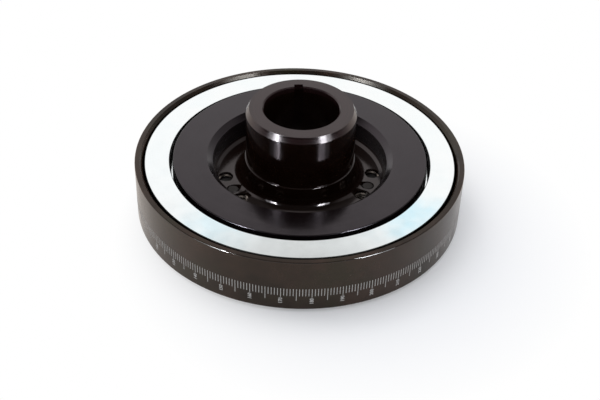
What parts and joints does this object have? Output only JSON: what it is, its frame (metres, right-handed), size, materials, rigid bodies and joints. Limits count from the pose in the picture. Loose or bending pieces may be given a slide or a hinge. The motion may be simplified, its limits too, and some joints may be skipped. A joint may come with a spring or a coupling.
{
  "type": "harmonic balancer",
  "caption": "Crankshaft torsional damper: a steel cup and hub trap an inertia ring between squeezed elastomer rings, with a seal sleeve, keyed bore and a degree scale",
  "frame": {"origin": "centre of the front face, which is the face the row rests on", "axes": "+Z along the crank axis from the front face towards the engine, +Y through the keyway, +X completes a right-handed frame"},
  "size_m": [0.1798, 0.1798, 0.0631],
  "materials": {
    "shell_finish": "satin black, warm",
    "core_finish": "turned, satin black oxide",
    "hub_finish": "ground, glossy black oxide",
    "zinc_plate": "bright zinc with a faint blue",
    "elastomer": "matte",
    "bolt_steel": "black oxide",
    "dowel_steel": "ground"
  },
  "bodies": {
    "shells_and_hub": {"outer_shell": "shell_finish", "inner_shell": "core_finish", "hub": "hub_finish", "front_elastomer": "elastomer", "rear_elastomer": "elastomer", "radial_elastomer_1": "elastomer", "radial_elastomer_2": "elastomer", "hub_bolt_1": "bolt_steel", "hub_bolt_2": "bolt_steel", "hub_bolt_3": "bolt_steel", "hub_bolt_4": "bolt_steel", "hub_bolt_5": "bolt_steel", "hub_bolt_6": "bolt_steel", "shell_screw_1": "bolt_steel", "shell_screw_2": "bolt_steel", "shell_screw_3": "bolt_steel", "shell_screw_4": "bolt_steel", "shell_screw_5": "bolt_steel", "shell_screw_6": "bolt_steel", "shell_screw_7": "bolt_steel", "shell_screw_8": "bolt_steel", "shell_screw_9": "bolt_steel", "dowel_pin_1": "dowel_steel", "dowel_pin_2": "dowel_steel"},
    "inertia_ring": {"inertia_ring": "zinc_plate"}
  },
  "joints": [
    {"name": "ring_twist", "type": "hinge", "parent": "shells_and_hub", "child": "inertia_ring", "pos_m": [0, 0, 0.021], "axis": [0, 0, 1], "range_deg": [-1, 1], "stiffness_Nm_per_rad": 600}
  ]
}
